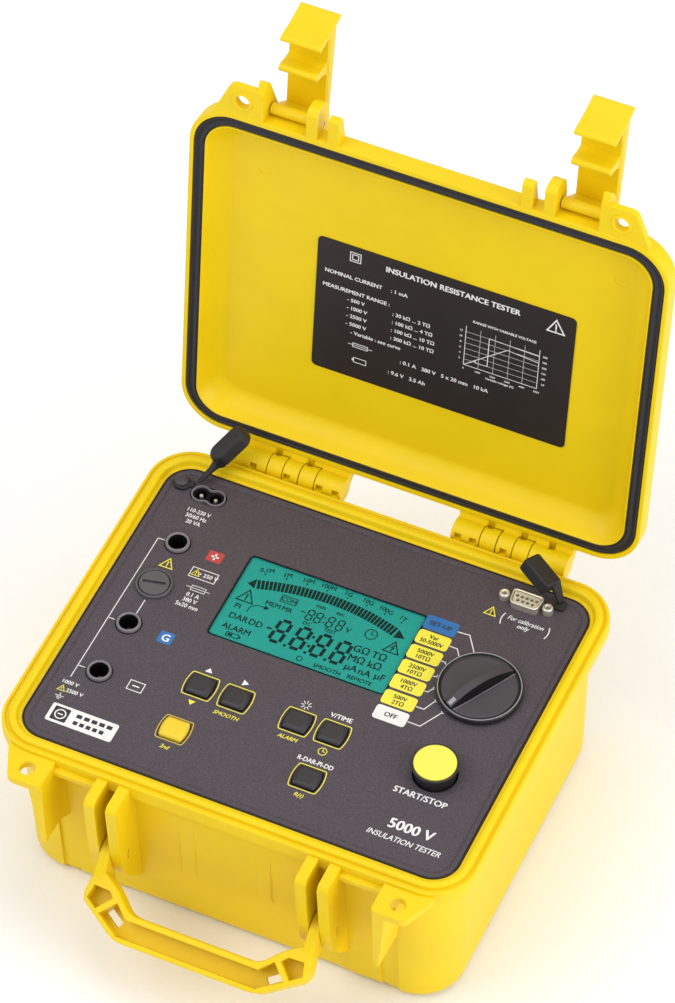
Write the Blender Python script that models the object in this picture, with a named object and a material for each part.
"""Insulation resistance tester in a rugged case with a hinged lid, shown with the lid open.

Design frame, in millimetres: x to the right, y to the back, z up, with z = 0 on the face of the
front panel. Lid pieces are laid out as if the lid were closed and hang from the lid_axis empty.
"""

import math

import bmesh
import bpy
from mathutils import Matrix, Vector

MM = 0.001
PANEL_Z = 108.0

# Case outline at the joint with the lid, and the wall below it.
RIM_X, RIM_Y, RIM_R = 135.0, 109.75, 25.0
WALL_TOP_Z, WALL_BOTTOM_Z, FLOOR_Z = -7.5, -100.5, -106.0
WALL_TOP_Y, WALL_BOTTOM_Y = 106.5, 100.7
JOINT_Z = 4.0
PIN_PLAY = 0.1

# Hinge axis of the lid and how far the lid stands open.
HINGE_Y, HINGE_Z, HINGE_R, HINGE_PIN_R = 118.5, -1.0, 7.0, 2.0
LID_OPEN = math.radians(98.5)

# Carrying handle.
HANDLE_Y, HANDLE_Z, HANDLE_DROP = -116.8, -49.2, math.radians(33.0)
HANDLE_HALF, HANDLE_PIN_R = 6.5, 2.2

# Latches, as they lie with the lid shut and the latch open.
LATCH_Y, LATCH_Z, LATCH_PIN_R = -113.4, 14.0, 1.5
LATCH_INNER_X, LATCH_OUTER_X = 70.2, 93.0

# Front panel.
PANEL_X, PANEL_Y, PANEL_R, PANEL_T = 123.0, 96.95, 13.3, 3.0
WINDOW = (-59.2, 44.0, -0.6, 57.0)
KNOB = (89.0, 22.5)
KNOB_R = 22.7
POINTER_ANGLE = math.radians(240.0)
START = (88.8, -36.0)
TERMINALS = {"plus": (-99.3, 47.6), "guard": (-99.3, -12.2), "minus": (-99.3, -47.4)}
FUSE = (-98.5, 17.2)
INLET = (-98.3, 83.8)
SERIAL = (88.6, 85.0)
KEYS = {
    "up_down": (-46.3, -34.3),
    "right": (-25.7, -34.3),
    "light": (10.0, -34.8),
    "volts": (30.2, -34.5),
    "ratio": (30.3, -65.9),
    "second": (-46.5, -65.6),
}
INLET_CAP_ROOT = Vector((-107.0, 88.0, 2.0))
SERIAL_CAP_ROOT = Vector((105.5, 91.0, 1.6))


def solid(vertices, faces):
    """A bare closed object in the design frame, turned to face outwards."""
    mesh = bpy.data.meshes.new("solid")
    mesh.from_pydata([Vector(v) for v in vertices], [], faces)
    shape = bmesh.new()
    shape.from_mesh(mesh)
    bmesh.ops.recalc_face_normals(shape, faces=shape.faces)
    shape.to_mesh(mesh)
    shape.free()
    obj = bpy.data.objects.new("solid", mesh)
    bpy.context.scene.collection.objects.link(obj)
    return obj


def ring(half_x, half_y, radius, z, centre=(0.0, 0.0), steps=6):
    """A rounded rectangle at height z."""
    points = []
    for quarter, (sx, sy) in enumerate(((1, 1), (-1, 1), (-1, -1), (1, -1))):
        for step in range(steps + 1):
            angle = (quarter + step / steps) * math.pi / 2
            x = sx * (half_x - radius) + radius * math.cos(angle)
            y = sy * (half_y - radius) + radius * math.sin(angle)
            points.append((centre[0] + x, centre[1] + y, z))
    return points


def circle(centre, radius, steps=24):
    """Corners of a circle, as pairs."""
    turn = 2 * math.pi / steps
    return [
        (centre[0] + radius * math.cos(turn * i), centre[1] + radius * math.sin(turn * i))
        for i in range(steps)
    ]


def loft(rings, hoop=False):
    """Skins a stack of rings; a hoop joins the last ring to the first instead of capping both."""
    count = len(rings[0])
    faces = []
    for level in range(len(rings) - (0 if hoop else 1)):
        low, high = level * count, (level + 1) % len(rings) * count
        for i in range(count):
            j = (i + 1) % count
            faces.append((low + i, low + j, high + j, high + i))
    if not hoop:
        faces.append(tuple(reversed(range(count))))
        faces.append(tuple(range((len(rings) - 1) * count, len(rings) * count)))
    return solid([point for points in rings for point in points], faces)


def prism(points, axis, start, end):
    """Extrudes a flat outline along x, y or z. The outline gives the two other coordinates in order."""
    def spread(level):
        return [p[:axis] + (level,) + p[axis:] for p in map(tuple, points)]
    return loft([spread(start), spread(end)])


def block(x, y, z):
    return prism([(x[0], y[0]), (x[1], y[0]), (x[1], y[1]), (x[0], y[1])], 2, *z)


def slab(centre, half_x, half_y, radius, z, steps=4):
    """A plate with rounded corners."""
    return loft([ring(half_x, half_y, radius, level, centre, steps) for level in z])


def turned(centre, profile, steps=24):
    """A body of revolution about a vertical axis; profile lists (radius, z) from the bottom up."""
    rings = []
    for radius, z in profile:
        rings.append([(x, y, z) for x, y in circle(centre, radius, steps)])
    return loft(rings)


def hull(points):
    """The convex solid round some points."""
    shape = bmesh.new()
    for point in points:
        shape.verts.new(point)
    made = bmesh.ops.convex_hull(shape, input=shape.verts)
    spare = set(made["geom_interior"]) | set(made["geom_unused"])
    bmesh.ops.delete(shape, geom=[v for v in spare if isinstance(v, bmesh.types.BMVert)])
    bmesh.ops.recalc_face_normals(shape, faces=shape.faces)
    mesh = bpy.data.meshes.new("hull")
    shape.to_mesh(mesh)
    shape.free()
    obj = bpy.data.objects.new("hull", mesh)
    bpy.context.scene.collection.objects.link(obj)
    return obj


def combine(target, tools, operation):
    """Joins the tools to the target, or cuts them from it, and removes them."""
    for tool in tools:
        modifier = target.modifiers.new("shape", "BOOLEAN")
        modifier.operation = operation
        modifier.solver = "EXACT"
        modifier.object = tool
        bpy.context.view_layer.update()
        graph = bpy.context.evaluated_depsgraph_get()
        mesh = bpy.data.meshes.new_from_object(target.evaluated_get(graph))
        target.modifiers.clear()
        target.data = mesh
        bpy.data.objects.remove(tool)
    return target


def join(target, *tools):
    return combine(target, tools, "UNION")


def cut(target, *tools):
    return combine(target, tools, "DIFFERENCE")


def paint(name, colour, roughness, metallic=0.0, alpha=1.0):
    material = bpy.data.materials.new(name + "_material")
    material.use_nodes = True
    surface = material.node_tree.nodes["Principled BSDF"]
    surface.inputs["Base Color"].default_value = (*colour, 1.0)
    surface.inputs["Roughness"].default_value = roughness
    surface.inputs["Metallic"].default_value = metallic
    surface.inputs["Alpha"].default_value = alpha
    return material


def place(obj, name, look, origin=(0.0, 0.0, -PANEL_Z), parent=None, turn=None):
    """Names a finished solid, scales it to metres and puts its origin where it turns or slides."""
    origin = Vector(origin)
    obj.name = name
    obj.data.name = name
    obj.data.transform(Matrix.Scale(MM, 4) @ Matrix.Translation(-origin))
    obj.data.materials.clear()
    obj.data.materials.append(paint(name, *look))
    for polygon in obj.data.polygons:
        polygon.material_index = 0
    obj.data.shade_smooth()
    obj.data.set_sharp_from_angle(angle=math.radians(35))
    if parent:
        obj.parent = parent
        obj.location = (origin - Vector((0.0, HINGE_Y, HINGE_Z))) * MM
    else:
        obj.location = (origin + Vector((0.0, 0.0, PANEL_Z))) * MM
    if turn:
        obj.rotation_mode = "QUATERNION"
        obj.rotation_quaternion = turn.to_quaternion()
    return obj


YELLOW = ((0.80, 0.58, 0.02), 0.45)
RUBBER = ((0.02, 0.02, 0.022), 0.8)
BLACK = ((0.03, 0.03, 0.032), 0.5)
DARK = ((0.11, 0.09, 0.11), 0.5)
GREY = ((0.35, 0.35, 0.37), 0.5)
STEEL = ((0.6, 0.6, 0.62), 0.3, 1.0)
BRASS = ((0.75, 0.55, 0.22), 0.3, 1.0)
GREEN = ((0.02, 0.18, 0.06), 0.5)
EAR = [(94.0, -107.6), (94.0, -126.2), (95.8, -128.0), (111.0, -128.0), (113.6, -126.6), (121.5, -109.0),
       (120.8, -105.6), (110.0, -107.6)]
EAR_HOLE, EAR_HOLE_R = (105.7, -119.0), 4.0
SIDES = {"left": -1.0, "right": 1.0}


def mirrored(points, side):
    """The outline on the given side of the middle plane, for outlines that start with x."""
    return [(side * p[0],) + tuple(p[1:]) for p in points]


def span(side, inner, outer):
    """Start and end along x of a piece on the given side."""
    return sorted((side * inner, side * outer))


def wall_y(z):
    """Distance from the middle plane to the outside of the front wall at height z."""
    share = (WALL_TOP_Z - z) / (WALL_TOP_Z - WALL_BOTTOM_Z)
    return WALL_TOP_Y + (WALL_BOTTOM_Y - WALL_TOP_Y) * share


def rod(centre, radius, x, steps=20):
    """A round bar along x through the point (y, z)."""
    return prism(circle(centre, radius, steps), 0, *x)


def make_base():
    base = loft([
        ring(119.4, 94.7, 16.0, FLOOR_Z),
        ring(123.9, 99.2, 19.0, -104.6),
        ring(125.4, WALL_BOTTOM_Y, 20.0, WALL_BOTTOM_Z),
        ring(131.8, WALL_TOP_Y, 22.5, WALL_TOP_Z),
        ring(RIM_X - 0.6, RIM_Y - 0.6, RIM_R - 0.6, WALL_TOP_Z),
        ring(RIM_X, RIM_Y, RIM_R, -6.9),
        ring(RIM_X, RIM_Y, RIM_R, 1.4),
        ring(RIM_X - 0.6, RIM_Y - 0.6, RIM_R - 0.6, 2.0),
        ring(RIM_X - 1.6, RIM_Y - 1.6, RIM_R - 1.6, 2.0),
        ring(RIM_X - 2.0, RIM_Y - 2.0, RIM_R - 2.0, 1.0),
        ring(RIM_X - 3.4, RIM_Y - 3.4, RIM_R - 3.4, 1.0),
        ring(131.2, 105.95, 21.2, 3.4),
        ring(130.9, 105.65, 20.9, 3.7),
        ring(127.3, 102.05, 17.3, 3.7),
        ring(127.0, 101.75, 17.0, 3.4),
        ring(126.6, 100.6, 16.8, 0.0),
        ring(124.8, 98.75, 15.3, 0.0),
        ring(124.8, 98.75, 15.3, -3.4),
        ring(121.4, 95.3, 13.0, -3.4),
        ring(121.4, 95.3, 13.0, -9.0),
        ring(128.2, 102.9, 19.0, -15.0),
        ring(122.2, 97.5, 17.0, WALL_BOTTOM_Z),
        ring(119.0, 94.3, 15.0, -103.0),
    ])
    lug = [(-124.4, 0.0), (-126.5, -2.1), (-125.2, -40.0), (-122.1, -60.0), (-114.0, -72.0), (-103.2, -83.5)]
    lug += [(-wall_y(z) + 1.4, z) for z in (-83.5, -40.0, -10.0, 0.0)]
    for side in SIDES.values():
        join(base, prism(mirrored(EAR, side), 2, -4.5, 0.0))
        join(base, hull([
            (side * x, y, z)
            for x, y, z in (
                (94.0, -126.0, -4.0), (103.0, -127.0, -4.0), (103.0, -104.0, -4.0), (94.0, -104.0, -4.0),
                (95.0, -103.4, -78.0), (97.5, -103.4, -78.0), (97.5, -100.9, -78.0), (95.0, -100.9, -78.0),
            )
        ]))
        join(base, block(span(side, 69.0, 94.6), (-113.3, -107.0), (WALL_TOP_Z, -3.8)))
        for x in ((51.0, 57.0), (63.5, 69.5)):
            join(base, prism(lug, 0, *span(side, *x)))
        web = [(104.6, -9.0), (107.5, -1.0), (118.5, -1.0), (118.5, -7.9), (107.0, -19.0), (104.6, -19.0)]
        for x in ((49.1, 58.2), (68.2, 77.0)):
            knuckle = rod((HINGE_Y, HINGE_Z), HINGE_R, span(side, *x))
            join(base, join(knuckle, prism(web, 0, *span(side, *x))))
        for x in (66.0, 94.5):
            for y in ((-95.0, -72.0), (72.0, 95.0)):
                join(base, block(span(side, x - 3.5, x + 3.5), y, (-PANEL_Z, FLOOR_Z + 1.0)))
        cut(
            base,
            prism(circle((side * EAR_HOLE[0], EAR_HOLE[1]), EAR_HOLE_R), 2, -6.0, 1.0),
            rod((HANDLE_Y, HANDLE_Z), HANDLE_PIN_R + PIN_PLAY, span(side, 50.0, 71.0)),
            rod((HINGE_Y, HINGE_Z), HINGE_PIN_R + PIN_PLAY, span(side, 48.0, 78.0)),
        )
    join(base, slab((0.0, 0.0), 30.0, 20.0, 4.0, (-PANEL_Z, FLOOR_Z + 1.0)))
    place(base, "case_base", YELLOW)


def make_lid(axis):
    lid = loft([
        ring(113.0, 87.5, 10.0, 16.5),
        ring(116.5, 91.0, 12.0, 15.6),
        ring(122.0, 96.5, 14.5, 11.0),
        ring(125.4, 99.9, 16.0, 4.2),
        ring(125.8, 100.3, 16.3, JOINT_Z),
        ring(125.8, 100.3, 16.3, 7.0),
        ring(132.5, 106.5, 22.5, 7.0),
        ring(132.5, 106.5, 22.5, JOINT_Z),
        ring(RIM_X - 0.6, RIM_Y - 0.6, RIM_R - 0.6, JOINT_Z),
        ring(RIM_X, RIM_Y, RIM_R, JOINT_Z + 0.6),
        ring(RIM_X, RIM_Y, RIM_R, 14.5),
        ring(RIM_X - 1.0, RIM_Y - 1.0, RIM_R - 1.0, 15.5),
        ring(126.0, 101.0, 18.0, 18.6),
        ring(123.0, 98.0, 16.0, 20.0),
    ])
    lug = [(-108.0, 4.3), (-124.6, 4.3), (-127.4, 7.4), (-127.4, 14.5), (-124.5, 18.6), (-114.0, 21.0),
           (-105.0, 20.5), (-100.0, 18.0), (-102.0, 12.0), (-108.0, 8.0)]
    fin = [(-108.0, 4.3), (-126.5, 4.9), (-134.0, 7.6), (-131.0, 12.0), (-107.0, 25.0), (-100.0, 22.0),
           (-98.0, 18.5), (-102.0, 12.0), (-108.0, 8.0)]
    rib = [(-108.0, 4.3), (-124.2, 4.3), (-126.0, 6.0), (-126.0, 9.0), (-109.0, 14.0), (-104.0, 14.0),
           (-102.0, 12.0), (-108.0, 8.0)]
    leaf = [(108.0, 5.2), (113.2, 3.6), (118.5, -1.0), (124.0, 3.0), (119.0, 6.0), (113.0, 13.0), (108.0, 15.0)]
    for side in SIDES.values():
        join(lid, prism(mirrored(EAR, side), 2, 4.4, 8.6))
        join(lid, prism(lug, 0, *span(side, 63.5, 69.5)), prism(fin, 0, *span(side, 93.7, 98.0)))
        join(lid, prism(rib, 0, *span(side, 51.0, 57.0)))
        for x in ((32.5, 48.7), (58.7, 67.8), (77.4, 99.0)):
            knuckle = rod((HINGE_Y, HINGE_Z), HINGE_R, span(side, *x))
            join(lid, join(knuckle, prism(leaf, 0, *span(side, *x))))
        cut(
            lid,
            prism(circle((side * EAR_HOLE[0], EAR_HOLE[1]), EAR_HOLE_R), 2, 3.0, 10.0),
            rod((LATCH_Y, LATCH_Z), LATCH_PIN_R + PIN_PLAY, span(side, 62.5, 99.0)),
            rod((HINGE_Y, HINGE_Z), HINGE_PIN_R + PIN_PLAY, span(side, 31.0, 100.5)),
        )
    hinge_point = (0.0, HINGE_Y, HINGE_Z)
    place(lid, "lid", YELLOW, hinge_point, axis)
    gasket = loft([
        ring(126.1, 100.6, 16.6, 6.7),
        ring(126.1, 100.6, 16.6, JOINT_Z),
        ring(132.2, 106.2, 22.2, JOINT_Z),
        ring(132.2, 106.2, 22.2, 6.7),
    ], hoop=True)
    place(gasket, "lid_gasket", RUBBER, hinge_point, axis)
    label = slab((9.8, 7.6), 73.8, 45.1, 3.0, (16.0, 16.4))
    place(label, "rating_label", BLACK, hinge_point, axis)


def make_latch(name, side, axis):
    """One latch: barrel, leg, ribbed plate, thumb tab and the hook that goes under the catch."""
    width = span(side, LATCH_INNER_X, LATCH_OUTER_X)
    plate = [(-101.4, 31.2), (-101.4, 34.4), (-157.0, 34.4), (-157.0, 31.2)]
    leg = [(-112.4, 12.9), (-101.4, 31.2), (-101.4, 34.4), (-104.8, 34.0), (-115.3, 15.6)]
    tab = [(-152.9, 21.0), (-155.2, 32.0), (-159.2, 45.6), (-161.6, 44.8), (-157.7, 31.4), (-155.4, 20.4)]
    hook = [(-139.0, 32.0), (-131.0, 32.0), (-134.3, 24.0), (-134.6, 20.5), (-134.9, 18.6), (-137.0, 18.0),
            (-138.6, 22.0)]
    flange = [(-104.0, 33.0), (-156.0, 33.0), (-158.6, 40.0), (-150.0, 39.4), (-104.0, 36.2)]
    latch = rod((LATCH_Y, LATCH_Z), 3.2, width)
    for outline in (leg, plate, tab, hook):
        join(latch, prism(outline, 0, *width))
    join(latch, prism(flange, 0, *span(side, LATCH_INNER_X, 72.4)))
    join(latch, prism(flange, 0, *span(side, 90.8, LATCH_OUTER_X)))
    cut(latch, rod((LATCH_Y, LATCH_Z), LATCH_PIN_R + PIN_PLAY, span(side, 69.0, 94.2)))
    pivot = (side * (LATCH_INNER_X + LATCH_OUTER_X) / 2, LATCH_Y, LATCH_Z)
    place(latch, "latch_" + name, YELLOW, pivot, axis)
    pin = rod((LATCH_Y, LATCH_Z), LATCH_PIN_R, span(side, 63.8, 97.7))
    place(pin, "latch_pin_" + name, STEEL, pivot, axis)


def make_handle():
    """The handle is laid out flat, outwards along -y, then dropped to where it rests."""
    outline = [(63.2, 10.0), (65.4, 29.0), (41.2, 44.9), (-41.2, 44.9), (-65.4, 29.0), (-63.2, 10.0),
               (-57.3, 10.0), (-57.3, 11.5), (-48.0, 18.0), (-37.3, 28.9), (37.3, 28.9), (48.0, 18.0),
               (57.3, 11.5), (57.3, 10.0)]
    pocket = [(61.0, 20.0), (62.6, 27.9), (40.4, 42.5), (-40.4, 42.5), (-62.6, 27.9), (-61.0, 20.0),
              (-51.0, 20.4), (-38.7, 32.3), (38.7, 32.3), (51.0, 20.4)]
    window = [(43.4, 37.4), (51.8, 31.9), (50.0, 29.4), (41.8, 34.8)]

    def flat(points, low, high):
        return prism([(x, -s) for x, s in points], 2, low, high)

    handle = flat(outline, -HANDLE_HALF, HANDLE_HALF)
    cut(handle, flat(pocket, -3.6, HANDLE_HALF + 1.0))
    for side in SIDES.values():
        cut(handle, flat(mirrored(window, side), -HANDLE_HALF - 1.0, 0.0))
        arm = hull([
            (x, y, z)
            for x in span(side, 57.3, 63.2)
            for y, z in circle((0.0, 0.0), 10.0) + [(-17.0, HANDLE_HALF), (-17.0, -HANDLE_HALF)]
        ])
        join(handle, arm)
        cut(handle, rod((0.0, 0.0), HANDLE_PIN_R + PIN_PLAY, span(side, 55.0, 65.0)))
    handle.data.transform(Matrix.Translation((0.0, HANDLE_Y, HANDLE_Z)))
    pivot = (0.0, HANDLE_Y, HANDLE_Z)
    place(handle, "handle", YELLOW, pivot, turn=Matrix.Rotation(HANDLE_DROP, 4, "X"))
    for name, side in SIDES.items():
        pin = rod((HANDLE_Y, HANDLE_Z), HANDLE_PIN_R, span(side, 51.4, 69.1))
        place(pin, "handle_pin_" + name, STEEL)
        pin = rod((HINGE_Y, HINGE_Z), HINGE_PIN_R, span(side, 32.8, 98.7))
        place(pin, "hinge_pin_" + name, STEEL)


def key_outline(centre, half_x, half_y, bulge):
    """Flat top and bottom, sides bulged outwards."""
    points = []
    for side in (1.0, -1.0):
        for step in range(7):
            share = step / 3.0 - 1.0
            x = half_x + bulge * (1.0 - share * share)
            points.append((centre[0] + side * x, centre[1] + side * share * half_y))
    return points


def d_outline(grow=0.0):
    """The D of a nine-way connector, wider at the back."""
    x, y = SERIAL
    corners = [(8.2, 3.4), (7.6, 4.2), (-7.6, 4.2), (-8.2, 3.4), (-6.9, -3.6), (-6.0, -4.2), (6.0, -4.2),
               (6.9, -3.6)]
    return [(x + a * (1 + grow / 8.0), y + b * (1 + grow / 4.2)) for a, b in corners]


def stadium(centre, half_x, half_y, steps=8):
    return [(x, y) for x, y, _ in ring(half_x, half_y, half_y - 0.01, 0.0, centre, steps)]


def make_panel():
    panel = slab((0.0, 0.0), PANEL_X, PANEL_Y, PANEL_R, (-PANEL_T, -0.5, 0.0), 6)
    middle = ((WINDOW[0] + WINDOW[1]) / 2, (WINDOW[2] + WINDOW[3]) / 2)
    half = ((WINDOW[1] - WINDOW[0]) / 2, (WINDOW[3] - WINDOW[2]) / 2)
    holes = [slab(middle, *half, 2.0, (-5.0, 2.0)), turned(KNOB, [(3.6, -5.0), (3.6, 2.0)])]
    holes.append(turned(START, [(11.4, -5.0), (11.4, 2.0)]))
    holes.append(turned(FUSE, [(9.8, -5.0), (9.8, 2.0)]))
    holes.append(prism(stadium(INLET, 10.5, 5.9), 2, -5.0, 2.0))
    holes.append(block((SERIAL[0] - 9.6, SERIAL[0] + 9.6), (SERIAL[1] - 5.4, SERIAL[1] + 5.4), (-5.0, 2.0)))
    for x in (-12.5, 12.5):
        holes.append(turned((SERIAL[0] + x, SERIAL[1]), [(1.8, -5.0), (1.8, 2.0)], 12))
    for centre in TERMINALS.values():
        holes.append(turned(centre, [(6.8, -5.0), (6.8, 2.0)]))
    for centre in KEYS.values():
        holes.append(prism(key_outline(centre, 6.5, 6.8, 1.2), 2, -5.0, 2.0))
    holes.append(turned((-115.6, 86.3), [(1.9, -5.0), (1.9, 2.0)], 12))
    cut(panel, *holes)
    place(panel, "front_panel", DARK)
    seal = loft([
        ring(123.3, 97.25, 13.8, -2.8),
        ring(124.5, 98.45, 15.0, -2.8),
        ring(124.5, 98.45, 15.0, 0.3),
        ring(123.3, 97.25, 13.8, 0.3),
    ], hoop=True)
    place(seal, "panel_seal", RUBBER)
    window = slab(middle, half[0] - 0.3, half[1] - 0.3, 1.7, (-2.7, -0.2))
    place(window, "display_window", ((0.7, 0.8, 0.8), 0.1, 0.0, 0.3))
    lcd = slab(middle, half[0] + 3.0, half[1] + 3.0, 1.0, (-8.6, -3.4))
    place(lcd, "lcd_module", ((0.04, 0.42, 0.33), 0.3))
    plate = slab((-92.75, -81.0), 19.25, 6.0, 1.2, (0.05, 0.4))
    place(plate, "name_plate", ((0.8, 0.8, 0.8), 0.4))


def make_controls():
    for name, centre in KEYS.items():
        key = loft([
            [(x, y, z) for x, y in key_outline(centre, a, b, 1.2)]
            for a, b, z in ((6.1, 6.4, -3.6), (6.1, 6.4, 1.5), (5.5, 5.8, 2.2))
        ])
        place(key, "key_" + name, BLACK, (*centre, 0.0))
    place(slab((-8.1, -50.1), 48.0, 26.0, 2.0, (-6.6, -5.1)), "keypad_mat", GREY)

    button = turned(START, [(8.0, -7.0), (10.3, -6.0), (10.3, 0.0), (12.3, 8.2), (12.5, 8.6), (12.2, 9.0)], 32)
    cut(button, turned(START, [(11.4, 8.2), (11.4, 11.0)], 32))
    place(button, "start_button", BLACK, (*START, 0.0))
    disc = turned(START, [(11.1, 8.5), (11.1, 9.6), (10.7, 10.0)], 32)
    place(disc, "start_cap", YELLOW, (*START, 0.0))
    place(slab(START, 9.0, 9.0, 1.0, (-19.0, -10.0)), "start_switch", BLACK)

    along = Matrix.Rotation(POINTER_ANGLE, 4, "Z")
    knob = turned(KNOB, [(21.9, 0.5), (KNOB_R, 1.2), (KNOB_R, 4.0), (22.3, 4.5)], 40)
    cut(knob, turned(KNOB, [(17.0, 1.6), (19.8, 2.4), (20.7, 5.0)], 40))
    bar = prism([(-21.4, 0.8), (21.4, 0.8), (21.4, 4.4), (12.0, 7.0), (0.0, 8.4), (-12.0, 7.0), (-21.4, 4.4)],
                1, -2.8, 2.8)
    slot = block((13.0, 21.0), (-1.2, 1.2), (3.7, 9.0))
    pointer = prism([(13.2, 3.9), (20.8, 3.9), (20.8, 4.7), (13.2, 6.8)], 1, -1.0, 1.0)
    for piece in (bar, slot, pointer):
        piece.data.transform(Matrix.Translation((*KNOB, 0.0)) @ along)
    join(knob, bar)
    cut(knob, slot, turned(KNOB, [(3.3, -1.0), (3.3, 5.0)]))
    place(knob, "selector_knob", BLACK, (*KNOB, 0.0))
    place(pointer, "knob_pointer", ((0.7, 0.7, 0.7), 0.4), (*KNOB, 0.0))
    place(turned(KNOB, [(3.0, -17.0), (3.0, 4.6)], 16), "selector_shaft", STEEL, (*KNOB, 0.0))
    switch = slab(KNOB, 15.0, 15.0, 2.0, (-15.0, -4.0))
    cut(switch, turned(KNOB, [(3.4, -16.0), (3.4, -3.0)], 16))
    place(switch, "rotary_switch", GREY)


def make_sockets():
    for name, centre in TERMINALS.items():
        socket = turned(centre, [(6.4, -15.0), (6.4, 0.3), (7.25, 0.3), (7.25, 1.7), (6.9, 2.2)])
        cut(socket, turned(centre, [(5.15, -12.0), (5.15, 4.0)]))
        place(socket, "terminal_" + name, GREY)
        place(turned(centre, [(2.0, -11.8), (2.0, -6.4), (1.5, -5.8)], 16), "contact_" + name, BRASS)

    holder = turned(FUSE, [(7.0, -38.0), (9.4, -36.0), (9.4, 0.3), (10.2, 0.3), (10.2, 1.5), (9.8, 1.9)])
    cut(holder, turned(FUSE, [(6.2, -36.0), (6.2, -3.0), (8.65, -2.4), (8.65, 4.0)]))
    place(holder, "fuse_holder", BLACK)
    cap = turned(FUSE, [(8.35, -1.4), (8.35, 1.8), (8.0, 2.1)])
    slot = block((-6.2, 6.2), (-0.9, 0.9), (0.6, 4.0))
    slot.data.transform(Matrix.Translation((*FUSE, 0.0)) @ Matrix.Rotation(math.radians(12.0), 4, "Z"))
    cut(cap, slot)
    place(cap, "fuse_cap", BLACK, (*FUSE, 0.0))
    carrier = turned(FUSE, [(5.6, -14.0), (5.6, -1.7)])
    cut(carrier, turned(FUSE, [(3.4, -15.0), (3.4, -3.2)], 16))
    place(carrier, "fuse_carrier", GREY, (*FUSE, 0.0))
    place(turned(FUSE, [(3.0, -35.2), (3.0, -3.6)], 16), "fuse", STEEL, (*FUSE, 0.0))

    inlet = prism(stadium(INLET, 10.1, 5.5), 2, -17.0, 0.5)
    cut(inlet, prism(stadium(INLET, 8.6, 4.2), 2, -14.0, 2.0))
    place(inlet, "mains_inlet", GREY)
    for name, side in SIDES.items():
        pin = turned((INLET[0] + side * 4.3, INLET[1]), [(1.2, -13.8), (1.2, -6.0), (0.9, -5.4)], 12)
        place(pin, "inlet_pin_" + name, BRASS)

    shell = prism(d_outline(1.0), 2, -4.0, 5.0)
    join(shell, slab(SERIAL, 15.4, 6.2, 1.0, (0.3, 1.1)))
    cut(shell, prism(d_outline(0.2), 2, -5.0, 6.0))
    for x in (-12.5, 12.5):
        cut(shell, turned((SERIAL[0] + x, SERIAL[1]), [(1.8, -1.0), (1.8, 2.0)], 12))
    place(shell, "serial_connector", STEEL)
    place(prism(d_outline(-0.2), 2, -10.0, 0.0), "serial_insert", BLACK)
    for name, side in SIDES.items():
        centre = (SERIAL[0] + side * 12.5, SERIAL[1])
        screw = prism(circle(centre, 2.7, 6), 2, 1.3, 4.2)
        join(screw, turned(centre, [(1.5, -6.0), (1.5, 2.0)], 12))
        place(screw, "jackscrew_" + name, BRASS)


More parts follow.
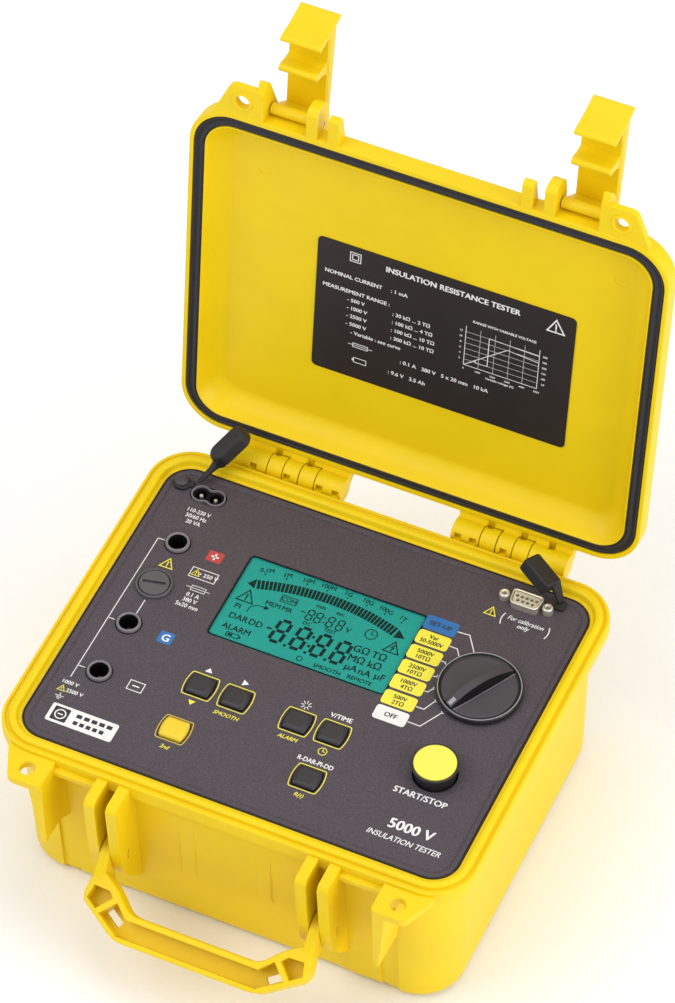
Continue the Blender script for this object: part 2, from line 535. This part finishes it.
def make_caps():
    """Rubber caps are laid out pressed down, then swung up to where they rest on their straps."""
    root = INLET_CAP_ROOT
    tongue = [(1.0, -0.9), (4.5, -3.2), (17.0, -3.2), (17.0, 3.2), (4.5, 3.2), (1.0, 0.9)]
    cap = prism([(root.x + x, root.y + y) for x, y in tongue], 2, 1.4, 2.9)
    head = loft([
        [(x, y, z) for x, y in stadium((root.x + 27.5, root.y), a, b)]
        for a, b, z in ((11.0, 5.0, 0.9), (12.0, 6.0, 1.8), (12.0, 6.0, 8.6), (11.0, 5.0, 9.5))
    ])
    join(cap, head)
    place(cap, "inlet_cap", RUBBER, root, turn=Matrix.Rotation(-INLET_CAP_SWING, 4, INLET_CAP_AXIS))
    strap = slab((-113.2, 86.9), 5.2, 4.0, 3.0, (0.7, 2.6))
    cut(strap, turned((-115.6, 86.3), [(1.9, -1.0), (1.9, 4.0)], 12))
    place(strap, "inlet_strap", RUBBER)
    rivet = turned((-115.6, 86.3), [(1.6, -4.6), (1.6, 2.9), (3.6, 2.9), (2.4, 4.3)], 16)
    place(rivet, "inlet_rivet", STEEL)

    root = SERIAL_CAP_ROOT
    cap = hull([
        root + Vector(p)
        for p in ((-0.8, -2.2, 1.6), (-0.8, 2.2, 1.6), (-0.8, -2.2, 0.2), (-0.8, 2.2, 0.2),
                  (-11.0, -6.5, 11.0), (-11.0, -0.5, 11.0), (-12.0, -6.5, 9.0), (-12.0, -0.5, 9.0))
    ])
    centre = (root.x + SERIAL_CAP_DOWN.x, root.y + SERIAL_CAP_DOWN.y)
    head = loft([
        ring(a, b, 2.0, root.z + z, centre, 3)
        for a, b, z in ((9.4, 5.4, 4.9), (10.0, 6.0, 5.6), (10.0, 6.0, 12.1), (9.4, 5.4, 12.9))
    ])
    join(cap, head)
    place(cap, "serial_cap", RUBBER, root, turn=Matrix.Rotation(-SERIAL_CAP_SWING, 4, SERIAL_CAP_AXIS))
    place(slab((root.x + 4.8, root.y), 3.6, 3.6, 1.5, (0.25, 2.2)), "serial_strap", RUBBER)


def make_inside():
    board = slab((-7.0, -10.0), 60.0, 73.0, 2.0, (-14.0, -12.4))
    place(board, "display_board", GREEN)
    place(slab((0.0, 0.0), 104.0, 84.0, 3.0, (-46.0, -44.4)), "main_board", GREEN)
    place(slab((0.0, -35.0), 62.0, 30.0, 4.0, (-101.0, -60.0)), "battery_pack", ((0.05, 0.12, 0.4), 0.5))
    place(slab((-30.0, 45.0), 34.0, 26.0, 2.0, (-96.0, -52.0)), "hv_module", GREY)


def lean(rest, down):
    """Axis and angle that take a cap from where it rests to where it is pressed down."""
    return rest.cross(down).normalized(), rest.angle(down)


SERIAL_CAP_DOWN = Vector((-20.2, -6.6, 9.6))
INLET_CAP_AXIS, INLET_CAP_SWING = lean(Vector((13.0, 20.0, 14.0)), Vector((1.0, 0.0, 0.0)))
SERIAL_CAP_AXIS, SERIAL_CAP_SWING = lean(Vector((-15.5, 5.0, 16.0)), SERIAL_CAP_DOWN)

for leftover in list(bpy.data.objects):
    bpy.data.objects.remove(leftover)
lid_axis = bpy.data.objects.new("lid_axis", None)
lid_axis.location = (0.0, HINGE_Y * MM, (HINGE_Z + PANEL_Z) * MM)
lid_axis.rotation_euler = (-LID_OPEN, 0.0, 0.0)
bpy.context.scene.collection.objects.link(lid_axis)

make_base()
make_lid(lid_axis)
for side_name, side_sign in SIDES.items():
    make_latch(side_name, side_sign, lid_axis)
make_handle()
make_panel()
make_controls()
make_sockets()
make_caps()
make_inside()
